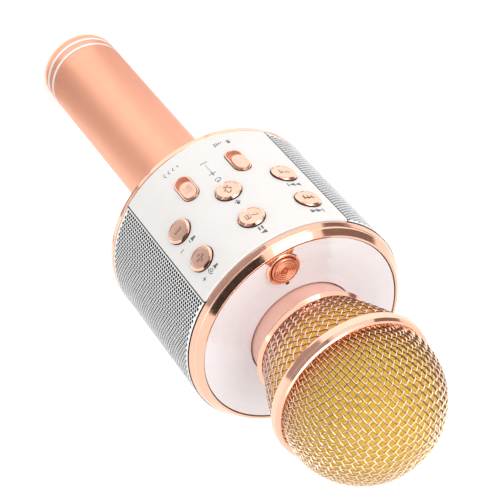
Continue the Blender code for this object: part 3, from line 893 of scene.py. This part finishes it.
def grown(shapes, by):
    """The same shapes, each made larger about its own middle."""
    larger = []
    for shape in shapes:
        x = sum(point[0] for point in shape) / len(shape)
        y = sum(point[1] for point in shape) / len(shape)
        reach_x = max(abs(point[0] - x) for point in shape)
        reach_y = max(abs(point[1] - y) for point in shape)
        larger.append([
            (x + (px - x) * (1 + by / reach_x), y + (py - y) * (1 + by / reach_y)) for px, py in shape
        ])
    return larger


def skip_sign(way):
    size = 1.5
    return (arrow(-way * size * 0.75, 0, size, way) + arrow(way * size * 0.25, 0, size, way)
            + bar(way * size * 0.95, 0, size * 0.2, size))


def plus_sign(size, width):
    arm, rise = (size - width) / 2, (size + width) / 4
    return bar(0, 0, size, width) + bar(0, rise, width, arm) + bar(0, -rise, width, arm)


def speaker_sign(louder):
    shapes = bar(-2.1, 0, 0.5, 0.7)
    shapes += [[(-1.85, -0.35), (-1.1, -0.8), (-1.1, 0.8), (-1.85, 0.35)]]
    for n in range(3 if louder else 1):
        shapes += stroke(arc(-1.3, 0, 0.8 + 0.5 * n, -42, 42, 6), 0.2)
    return shapes + moved(plus_sign(1.2, 0.25) if louder else bar(0, 0, 1.2, 0.25), 2.3, 0)


def microphone_sign(scale):
    shapes = [arc(0, 0.66, 0.42, 0, 180, 8) + arc(0, 0.04, 0.42, 180, 360, 8)]
    shapes += stroke(arc(0, 0.2, 0.8, 190, 350, 10), 0.18)
    shapes += bar(0, -0.82, 0.18, 0.4) + bar(0, -1.08, 0.9, 0.16)
    return scaled(shapes, scale, scale)


def level_bars():
    shapes = []
    for n in range(4):
        height = 0.5 + 0.35 * n
        shapes += bar(0.6 * n, height / 2 - 0.8, 0.3, height)
    return shapes


def echo_sign():
    shapes = []
    for n in range(4):
        shapes += stroke(arc(-2.6 + 1.15 * n, 0, 0.55 + 0.16 * n, -55, 55, 6), 0.2)
    return shapes


def replay_sign():
    shapes = stroke(arc(0, 0, 0.7, 60, 360, 14), 0.2)
    return shapes + moved(arrow(0, 0, 0.7, -1), 0.15, 0.72)


MARK_WIDEN = 1.4
MARK_HEIGHTEN = 1.15
MARK_RISE = 6.6
CAPTION_DROP = 11.3
MARK_LIFT = 0.03


def panel_marks():
    """Small printed pictograms beside the controls."""
    column = abs(math.atan2(*JOINTS["volume_up_press"]["axis"][:2])) * DRUM_RADIUS
    upper = middle("play_pause_button").z
    lower = middle("mic_replay_button").z
    slider = middle("echo_tray").z
    caption = slider - CAPTION_DROP
    spread = abs(math.atan2(middle("echo_tray").x, -middle("echo_tray").y)) * DRUM_RADIUS
    marks = {
        "previous": (skip_sign(-1), -column, upper + MARK_RISE),
        "next": (skip_sign(1), -column, lower + MARK_RISE),
        "play": (arrow(0, 0, 1.5, 1), 0.1, upper + MARK_RISE + 1.7),
        "pause": (bar(-0.4, 0, 0.4, 1.4) + bar(0.4, 0, 0.4, 1.4), 0, upper + MARK_RISE - 0.5),
        "louder": (speaker_sign(True), column + 0.3, upper + MARK_RISE),
        "softer": (speaker_sign(False), column + 0.3, lower + MARK_RISE),
        "microphone": (microphone_sign(0.85), 0, lower + MARK_RISE),
        "replay": (replay_sign(), 0, lower - 7.3),
        "mic_level": (moved(microphone_sign(0.8), -1.6, 0) + moved(level_bars(), 0.2, 0), -spread, caption),
        "echo": (echo_sign(), spread + 0.5, caption),
        "more": (plus_sign(1.9, 0.28), 0.1, slider + 0.9),
        "less": (bar(0, 0, 1.9, 0.28), 0.1, slider - 5.6),
        "scale": (bar(0, 0, 0.1, 3.4), 0.1, slider - 2.4),
    }
    for word, (shapes, x, z) in marks.items():
        wrapped = [
            [polar(DRUM_RADIUS + MARK_LIFT, px / DRUM_RADIUS, pz) for px, pz in shape]
            for shape in moved(scaled(shapes, MARK_WIDEN, MARK_HEIGHTEN), x, z)
        ]
        goes_with(thin_shapes("mark_" + word, wrapped, 0.05, "print_grey"), "front_panel")


def thin_shapes(name, shapes, thickness, look, matrix=None):
    """Flat faces, each given by its corners, thickened inwards into thin closed plates."""
    bm = bmesh.new()
    for shape in shapes:
        bm.faces.new([bm.verts.new([c * MM for c in corner]) for corner in shape])
    bmesh.ops.remove_doubles(bm, verts=bm.verts, dist=1e-7)
    return thickened(add(name, mesh_of(bm, name), look, matrix), thickness)


RIB_WIDTH = 0.28
BUTTON_PROFILE = [
    (0, -6.2), (1.5, -6.2), (1.5, -3.6), (5.2, -3.6), (5.2, -2.9), (4.42, -2.9), (4.42, 0.45, 0.05),
    (4.2, 0.65, 0.12), (3.72, 1.02, 0.12), (3.45, 1.02, 0.1), (3.3, 0.9, 0.1), (1.8, 1.0, 1.0), (0, 1.02),
]


def panel_buttons():
    """Plated push buttons with a raised sign on each."""
    signs = {
        "volume_down": bar(0, 0, 2.6, 0.5),
        "volume_up": plus_sign(2.8, 0.5),
        "mic_replay": moved(microphone_sign(1.5), 0, 0.1),
        "play_pause": arrow(-1.1, 0, 1.9, 1) + bar(0.7, 0, 0.45, 1.9) + bar(1.6, 0, 0.45, 1.9),
        "next_track": arrow(-0.9, 0, 1.5, 1) + arrow(0.5, 0, 1.5, 1) + bar(1.5, 0, 0.35, 1.5),
        "previous_track": arrow(0.9, 0, 1.5, -1) + arrow(-0.5, 0, 1.5, -1) + bar(-1.5, 0, 0.35, 1.5),
    }
    for word in BUTTONS:
        place = button_place(word)
        button = turned(word + "_cap", BUTTON_PROFILE, "rose_plating", place, BUTTON_STEPS)
        finish_button(button)
        stands_for(button, word + "_button")
        for part, shapes, height, look in (
            # The groove is a dark plate a little larger than the sign, painted shade round it.
            ("groove", grown(signs[word], 0.17), 1.06, "groove_painted_shade"),
            ("sign", signs[word], 1.16, "rose_brushed"),
        ):
            raised = [[(x, y, height) for x, y in shape] for shape in shapes]
            goes_with(thin_shapes(f"{word}_{part}", raised, 0.16, look, place), word + "_button")


def painted(obj, look, chosen):
    """Give another look to the faces whose middle, in millimetres, passes a test."""
    obj.data.materials.append(LOOKS[look])
    for face in obj.data.polygons:
        if chosen(face.center / MM):
            face.material_index = len(obj.data.materials) - 1


def finish_button(obj):
    """The flat middle of a button is brushed, and its side is painted dark as shade in the gap."""
    painted(obj, "rose_brushed", lambda at: at.z > 0.8 and math.hypot(at.x, at.y) < 3.35)
    painted(obj, "gap_painted_shade", lambda at: at.z < 0.44 and math.hypot(at.x, at.y) > 4.3)


def finish_tray(obj, length, width):
    """A slider's well is blasted inside, and the side of its rim is painted dark as shade."""
    def reach(at):
        return math.hypot(at.x, max(abs(at.y) - (length - width) / 2, 0))

    painted(obj, "tray_satin", lambda at: reach(at) < width / 2 - 0.4 and at.z < 0.25)
    painted(obj, "gap_painted_shade", lambda at: reach(at) > width / 2 - 0.06 and at.z < 0.3)


def slider_tray(word, place):
    low, high = span(word + "_tray")
    length = high.z - low.z
    width = length - 6.2
    tray = add(word + "_well", prism("tray", stadium(length, width), -2.6, 0.35), "rose_plating", place)
    well = prism("well", stadium(length - 0.9, width - 0.9), -1.6, 4)
    slit = prism("slit", stadium(8.4, 2.0), -6, 4)
    cut(tray, [(well, place), (slit, place)])
    bevelled(tray, 0.12)
    finish_tray(tray, length, width)
    stands_for(tray, word + "_tray")


def slider_knob(word, place):
    """A ribbed thumb piece on a flat stem that goes through the slit."""
    low, high = span(word + "_knob")
    shift = (low.z + high.z) / 2 - middle(word + "_tray").z
    up = place @ Matrix.Translation((0, shift * MM, 0))
    mesh = prism("knob", stadium(high.z - low.z, 4.8), -1.3, 1.15)
    knob = add(word + "_thumb", mesh, "rose_brushed", up)
    ribs = [block((-1.5, 0.75 * n - 0.12), (1.5, 0.75 * n + 0.12)) for n in range(-2, 3)]
    cut(knob, [(prism("rib", rib, 1.02, 2), up) for rib in ribs])
    bevelled(knob, 0.28, 60)
    cut(knob, [(prism("stem", block((-0.6, -1.6), (0.6, 1.6)), -6.5, -0.8), up)], "UNION")
    stands_for(knob, word + "_knob")


def sliders():
    for word in SLIDERS:
        slider_tray(word, tray_place(word))
        slider_knob(word, tray_place(word))


def power_button():
    """A grooved cap in a plated bezel, which a ribbed bridge joins to the drum's rim."""
    place = upright_at("power_button")
    dish_top = span("top_dish")[1].z
    power_bezel(place, dish_top)
    power_bridge(place, dish_top)
    power_cap(place)


def power_bezel(place, top):
    low = span("power_bezel")[0].z
    bezel = turned("power_collar", [
        (4.75, low), (5.3, low), (5.3, top - 1.2), (5.95, top - 1.1), (5.95, top - 0.2, 0.4),
        (5.5, top + 0.3, 0.3), (4.75, top + 0.1, 0.2),
    ], "rose_plating", place, BUTTON_STEPS)
    stands_for(bezel, "power_bezel")


def power_bridge(place, top):
    edge = span("top_dish")[1].x
    centre_y = middle("power_button").y
    outline = bridge_outline(centre_y, edge)
    tab = add("power_bridge", prism("bridge", outline, top - 0.7, top - 0.05), "copper_plating")
    cut(tab, [(plug(5.6, top - 80, top + 70, BUTTON_STEPS), place)])
    goes_with(bevelled(tab, 0.2), "power_bezel")
    for n in range(-3, 4):
        outline = block((n - RIB_WIDTH / 2, 0.3 - edge), (n + RIB_WIDTH / 2, centre_y - 4.8))
        mesh = prism("rib", outline, top - 0.5, top + 0.08)
        goes_with(bevelled(add(f"power_rib_{n + 4}", mesh, "copper_plating"), 0.1), "power_bezel")


def power_cap(place):
    low, high = span("power_button")
    top, groove = high.z, high.z - 0.22
    rings = []
    for n in range(4):
        radius = 3.9 - 0.75 * n
        rings += [(radius, top, 0.08), (radius - 0.3, groove, 0.08), (radius - 0.45, groove, 0.08)]
    cap = turned("power_cap", [
        (0, low.z), (1.4, low.z), (1.4, low.z + 1.5), (4.55, low.z + 1.5), (4.55, top - 0.3, 0.3),
        (4.25, top, 0.2), *rings, (0, groove),
    ], "copper_plating", place, BUTTON_STEPS)
    stands_for(cap, "power_button")
    sign = stroke(arc(0, -0.1, 1.15, 130, 410, 20), 0.4) + bar(0, 0.75, 0.4, 1.5)
    raised = [[(x, y, top + 0.06) for x, y in shape] for shape in sign]
    mark = thin_shapes("power_sign", raised, 0.3, "copper_plating", place)
    goes_with(mark, "power_button")


def bridge_outline(centre_y, edge):
    """Outline of the plated piece that joins the power button's bezel to the drum's rim."""
    side = [(x, centre_y - drop) for x, drop in ((4.3, 4.6), (3.7, 3.6), (4.6, 2.0))]
    return arc(0, 0, edge + 0.2, -98.5, -81.5, 12) + side + [(-x, y) for x, y in reversed(side)]


# ---------------- head

def neck():
    low, high = span("neck_collar")
    edge, top = high.x, high.z
    collar = turned("neck", [
        (edge - 3.7, low.z), (edge - 1.6, low.z), (edge - 1.6, top - 8.1), (edge - 1.3, top - 7.5, 0.4),
        (edge - 1.0, top - 5.2, 6.0), (edge - 0.5, top - 2.5, 6.0), (edge, top, 0.25), (edge - 2.4, top),
        (edge - 2.4, top - 7.7), (edge - 3.7, top - 7.7),
    ], "peach_satin")
    stands_for(collar, "neck_collar")


def head_rings():
    """The plated ring on the neck's edge, with its skirt inside the neck, and the wide hoop."""
    base = span("neck_collar")[1].z + 0.25
    low, high = span("head_thread_ring")
    edge = high.x
    ring = turned("head_joint_ring", [
        (edge - 5.8, low.z), (edge - 4.0, low.z), (edge - 4.0, base), (edge - 0.4, base, 0.2),
        (edge, base + 0.45, 0.15), (edge - 1.2, base + 1.45, 0.15),
        (edge - 2.6, base + 1.45), (edge - 2.6, high.z), (edge - 3.4, high.z), (edge - 3.4, base + 0.8),
        (edge - 5.8, base + 0.8),
    ], "rose_plating")
    stands_for(ring, "head_thread_ring")
    low, high = span("head_band")
    edge = high.x
    band = turned("head_hoop", [
        (edge - 3.1, low.z), (edge - 0.5, low.z, 0.3), (edge - 0.1, low.z + 0.5, 0.4),
        (edge, low.z + 1.2, 0.8), (edge - 0.3, low.z + 2.9, 0.8), (edge - 0.9, low.z + 4.0, 0.15),
        (edge - 1.5, high.z, 0.15), (edge - 3.1, high.z),
    ], "rose_plating")
    stands_for(band, "head_band")


WIRE = 0.25
WEAVE_PITCH = 2.2
WEAVE_TURN = math.radians(20)
BASKET_WIRES = 48
SAMPLES = 4
SIDES = 6


def around(radius, angle, height):
    """Rows of x, y and z from cylinder coordinates, with angles from +X."""
    return np.stack([radius * np.cos(angle), radius * np.sin(angle), height], 1)


def tubes(name, lines, radius):
    """One mesh of round wires: each line is points, surface normals and its count of faces painted dark as shade.

    The painted shade is on the wire's right flank, or on its left one when the count is negative, and on both ends
    of the wire.
    """
    vertices, faces, dark, count = [], [], [], 0
    for points, normals, shaded in lines:
        along = np.gradient(points, axis=0)
        along /= np.linalg.norm(along, axis=1, keepdims=True)
        side = np.cross(along, normals)
        side /= np.linalg.norm(side, axis=1, keepdims=True)
        up = np.cross(side, along)
        angles = math.pi / 2 - math.copysign(math.radians(15), shaded) + np.arange(SIDES) * TAU / SIDES
        # flank holds the faces that get the painted shade.
        flank = range(SIDES - shaded, SIDES) if shaded > 0 else range(-shaded)
        across, out = np.cos(angles)[None, :, None], np.sin(angles)[None, :, None]
        ring = (across * side[:, None] + out * up[:, None]) * radius
        vertices.append((points[:, None] + ring).reshape(-1, 3))
        for i in range(len(points) - 1):
            a = count + i * SIDES
            for j in range(SIDES):
                k = (j + 1) % SIDES
                faces.append((a + j, a + k, a + SIDES + k, a + SIDES + j))
                dark.append(j in flank)
        last = count + (len(points) - 1) * SIDES
        faces.append(tuple(count + j for j in reversed(range(SIDES))))
        faces.append(tuple(last + j for j in range(SIDES)))
        # Both end caps get the painted shade too.
        dark += [True, True]
        count += len(points) * SIDES
    mesh = mesh_from(name, (np.concatenate(vertices) * MM).tolist(), faces)
    mesh.shade_smooth()
    wires = add(name, mesh, "wire_plating")
    mesh.materials.append(LOOKS["wire_shade"])
    mesh.polygons.foreach_set("material_index", [int(d) for d in dark])
    return wires


class Dome:
    """Half an ellipsoid over a tapering skirt, as a function of the arc length from the crown."""

    def __init__(self, radius, rim, top, skirt):
        self.radius, self.rim, self.top = radius, rim, top
        angles = np.linspace(0, math.pi / 2, 200)
        self.r = radius * np.sin(angles)
        self.z = rim + (top - rim) * np.cos(angles)
        self.s = np.concatenate([[0], np.cumsum(np.hypot(np.diff(self.r), np.diff(self.z)))])
        self.reach = self.s[-1] + skirt
        self.r = np.append(self.r, radius - 0.2 * skirt)
        self.z = np.append(self.z, rim - skirt)
        self.s = np.append(self.s, self.reach)

    def at(self, u, v, lift):
        """Points and normals for flat positions (u, v) about the crown, lifted off the surface."""
        s = np.hypot(u, v)
        angle = np.arctan2(v, u)
        r = np.interp(s, self.s, self.r)
        z = np.interp(s, self.s, self.z)
        height = np.maximum(z - self.rim, 0) / (self.top - self.rim) ** 2
        out = r / self.radius ** 2
        size = np.hypot(out, height)
        nr, nz = out / size, height / size
        return around(r + lift * nr, angle, z + lift * nz), around(nr, angle, nz)


def upper_dome():
    """Woven wire pressed into a dome: two families of wires, each over and under the other."""
    low, high = span("upper_dome")
    shell = Dome(high.x - WIRE, low.z + 3.0, high.z - WIRE, 5.0)
    lines = []
    count = int(shell.reach / WEAVE_PITCH)
    for family in (0, 1):
        for i in range(-count, count + 1):
            fixed = i * WEAVE_PITCH
            half = math.sqrt(max(shell.reach ** 2 - fixed ** 2, 0))
            steps = int(2 * half / WEAVE_PITCH * SAMPLES)
            if steps < 4:
                continue
            t = np.linspace(-half, half, steps)
            wave = np.cos(math.pi * t / WEAVE_PITCH) * (-1) ** i * WIRE * (1 - 2 * family)
            u, v = (t, np.full_like(t, fixed)) if family else (np.full_like(t, fixed), t)
            turn_u = u * math.cos(WEAVE_TURN) - v * math.sin(WEAVE_TURN)
            turn_v = u * math.sin(WEAVE_TURN) + v * math.cos(WEAVE_TURN)
            # One family gets two faces of painted shade on the right flank, the other one face on the left.
            lines.append((*shell.at(turn_u, turn_v, wave - WIRE), -1 if family else 2))
    dome = tubes("dome_weave", lines, WIRE)
    stands_for(dome, "upper_dome")


def lower_basket():
    """Woven wire cone below the band, its wires running both ways round at 45 degrees."""
    low, high = span("lower_basket")
    bottom, top, wide = low.z - 0.6, high.z + 1.6, high.x
    narrow = span("neck_collar")[1].x - 0.2
    z = np.linspace(bottom, top, 120)
    share = (z - bottom) / (top - bottom)
    r = narrow + (wide - narrow) * (1 - (1 - share) ** 1.35)
    step = np.hypot(np.gradient(r), np.gradient(z))
    turn = np.concatenate([[0], np.cumsum(0.5 * (step[1:] / r[1:] + step[:-1] / r[:-1]))])
    slope_r, slope_z = np.gradient(r), np.gradient(z)
    nr = slope_z / np.hypot(slope_r, slope_z)
    nz = -slope_r / np.hypot(slope_r, slope_z)
    apart = TAU / BASKET_WIRES
    crossings = turn[-1] / (apart / 2)
    even = np.linspace(0, turn[-1], int(crossings * SAMPLES) + 1)
    r, z, nr, nz = (np.interp(even, turn, values) for values in (r, z, nr, nz))
    lines = []
    for family in (1, -1):
        wave = family * np.cos(math.pi * even / (apart / 2)) * WIRE - WIRE
        for i in range(BASKET_WIRES):
            angle = i * apart + family * even
            # Every basket wire gets one face of painted shade on its right flank.
            lines.append((around(r + wave * nr, angle, z + wave * nz), around(nr, angle, nz), 1))
    basket = tubes("basket_weave", lines, WIRE)
    stands_for(basket, "lower_basket")


FOAM_STEP = 0.7
FOAM_RELIEF = 0.14


def windscreen():
    """Foam cup that fills the wires, with an uneven open-cell surface."""
    low, high = span("foam_windscreen")
    base, top = low.z, high.z
    radius = high.x + 0.25
    profile = [(radius - 7.6, base), (radius - 7.6, base + 3.0), (radius - 5.6, base + 4.0)]
    profile += [(radius - 2.5, base + 10.0), (radius - 0.3, base + 18.0)]
    rim = base + 24.0
    for i in range(40):
        angle = math.pi / 2 * i / 40
        profile.append((radius * math.cos(angle), rim + (top + 0.3 - rim) * math.sin(angle)))
    profile += [(0, top + 0.3), (0, base + 13.6), (9.0, base + 13.6), (12.5, base + 9.6), (12.5, base)]
    fine = []
    for a, b in zip(profile, profile[1:] + profile[:1]):
        pieces = max(1, int(math.dist(a, b) / FOAM_STEP))
        fine += [tuple(np.array(a) + (np.array(b) - np.array(a)) * i / pieces) for i in range(pieces)]
    mesh = lathe("windscreen_foam", fine, 220)
    mesh.shade_smooth()
    for vertex in mesh.vertices:
        grain = noise.noise(vertex.co * 900) + 0.6 * noise.noise(vertex.co * 2100)
        vertex.co += vertex.normal * grain * FOAM_RELIEF * MM
    cup = add("windscreen_foam", mesh, "foam")
    stands_for(cup, "foam_windscreen")


# ---------------- studio

# Lengths of the studio, in metres.
LIGHT_DISTANCE = 0.9
CARD_DISTANCE = 1.1
DOME_RADIUS = 1.6
FLOOR_HALF = 4.0
MIDDLE_HEIGHT = 0.15

# The camera's place, in millimetres and radians.
TARGET = Vector((0, 0, 154.2))
DISTANCE = 542.2
SHIFT_RIGHT = -4.30
SHIFT_UP = 11.20
AZIMUTH = math.radians(16.15)
ELEVATION = math.radians(43.6)
ROLL = math.radians(139.3)


def camera_axes():
    back = Vector(polar(math.cos(ELEVATION), AZIMUTH, math.sin(ELEVATION)))
    level = Vector((0, 0, 1)).cross(back).normalized()
    above = back.cross(level)
    right = math.cos(ROLL) * level + math.sin(ROLL) * above
    up = -math.sin(ROLL) * level + math.cos(ROLL) * above
    return right, up, back


def camera():
    right, up, back = camera_axes()
    data = bpy.data.cameras.new("camera")
    data.lens = 115.8
    data.sensor_width = 36
    data.clip_start = 0.02
    data.clip_end = 50
    place = (TARGET + DISTANCE * back + SHIFT_RIGHT * right + SHIFT_UP * up) * MM
    turn = Matrix((right, up, back)).transposed().to_4x4()
    bpy.context.scene.camera = add("camera", data, matrix=Matrix.Translation(place) @ turn)


def panel_light(name, azimuth, elevation, size, power):
    """A soft square light that faces the middle of the object."""
    data = bpy.data.lights.new(name, "AREA")
    data.shape = "SQUARE"
    data.size = size
    data.energy = power
    spot = sky_point(azimuth, elevation, LIGHT_DISTANCE)
    turn = (spot - sky_point(0, 0, 0)).to_track_quat("Z", "Y").to_matrix().to_4x4()
    add(name, data, matrix=Matrix.Translation(spot) @ turn)


def sky_point(azimuth, elevation, distance):
    rise = math.radians(elevation)
    away = Vector(polar(math.cos(rise), math.radians(azimuth), math.sin(rise)))
    return Vector((0, 0, MIDDLE_HEIGHT)) + away * distance


def reflected_card(name, look, points):
    """A flat card that only polished surfaces see."""
    only_mirrored(add(name, mesh_from(name, points, [range(len(points))]), look))


def only_mirrored(obj):
    obj.visible_camera = False
    obj.visible_diffuse = False
    obj.visible_shadow = False


def sky_card(name, look, low, high):
    """A card in the air, from its lowest to its highest azimuth and elevation."""
    reflected_card(name, look, [sky_point(*corner, CARD_DISTANCE) for corner in block(low, high)])


def floor_card(name, look, corners, height=0.002):
    """A card on the floor, its corners given by azimuth and distance from the object's axis."""
    points = [polar(distance, math.radians(azimuth), height) for azimuth, distance in corners]
    reflected_card(name, look, points)


def glow_dome():
    """A lit shell round the studio that polished surfaces mirror."""
    bm = bmesh.new()
    bmesh.ops.create_icosphere(bm, subdivisions=3, radius=DOME_RADIUS)
    only_mirrored(add("glow_dome", mesh_of(bm, "glow_dome"), "glow_card"))


def studio_floor():
    corners = [(x, y, 0) for x, y in block((-FLOOR_HALF, -FLOOR_HALF), (FLOOR_HALF, FLOOR_HALF))]
    plane = add("floor", mesh_from("floor", corners, [range(4)]), "floor")


def studio():
    world = bpy.data.worlds.new("studio")
    bpy.context.scene.world = world
    world.use_nodes = True
    world.node_tree.nodes["Background"].inputs["Color"].default_value = (1, 1, 1, 1)
    world.node_tree.nodes["Background"].inputs["Strength"].default_value = 0.70
    bpy.context.scene.view_settings.view_transform = "Standard"
    panel_light("key", -30, 38, 0.5, 2.0)
    panel_light("fill", 95, 62, 0.4, 0.5)
    panel_light("top", 0, 88, 0.5, 2.3)
    glow_dome()
    sky_card("camera_card", "black_card", (0, 20), (70, 50))
    sky_card("low_card", "mauve_card", (-6, 2), (64, 19))
    sky_card("side_card", "brown_card", (-110, 0), (-58, 24))
    floor_card("stripe_card", "sand_card", block((28, 0.02), (104, 0.15)))
    floor_card("stripe_core", "mauve_card", block((44, 0.02), (76, 0.15)), 0.003)
    floor_card("edge_card", "cream_card", block((-110, 0.02), (-30, 0.15)), 0.003)
    floor_card("band_card", "mauve_card", (
        (28, 0.158), (50, 0.158), (68, 0.45), (60, 1.4), (14, 1.4), (4, 0.45),
    ), 0.004)


def main():
    camera()
    dress_cad_nodes()
    handle_tube()
    tail_rings()
    tail_cap()
    drum_rings()
    top_dish()
    bottom_cover()
    front_panel()
    rear_panel()
    gaskets()
    grilles()
    panel_buttons()
    panel_marks()
    sliders()
    power_button()
    neck()
    head_rings()
    lower_basket()
    upper_dome()
    windscreen()
    studio_floor()
    studio()


main()
